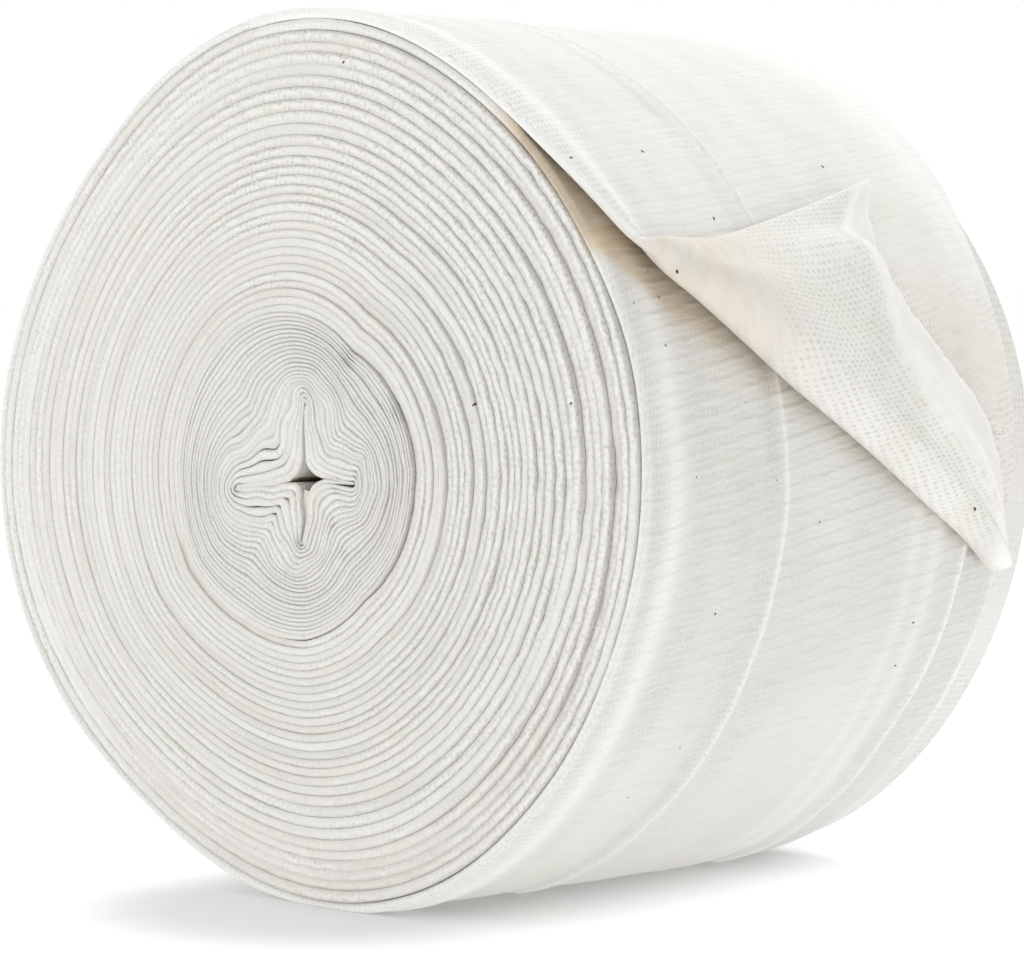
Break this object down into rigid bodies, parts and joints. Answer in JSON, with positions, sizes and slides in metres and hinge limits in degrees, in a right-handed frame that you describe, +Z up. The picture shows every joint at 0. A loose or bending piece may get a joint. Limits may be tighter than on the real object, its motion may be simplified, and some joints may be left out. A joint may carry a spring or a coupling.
{
  "type": "tubular bandage roll",
  "caption": "Roll of knitted cotton tubular bandage lying on its side, the front corner of its loose end turned back over the top.",
  "frame": {"origin": "middle of the small flat spot that the roll rests on, straight below its axis at half its length", "axes": "+Z up, -Y out of the front end face along the roll's axis, +X towards the side on which the loose end comes down"},
  "size_m": [0.1571, 0.1043, 0.1423],
  "materials": {
    "knit": "matte undyed knitted cotton, fine ribs",
    "loose_knit": "matte undyed knitted cotton, fine ribs, a little warmer on the side turned out"
  },
  "bodies": {
    "root": {"wound_roll": "knit", "loose_end": "loose_knit"}
  },
  "joints": []
}
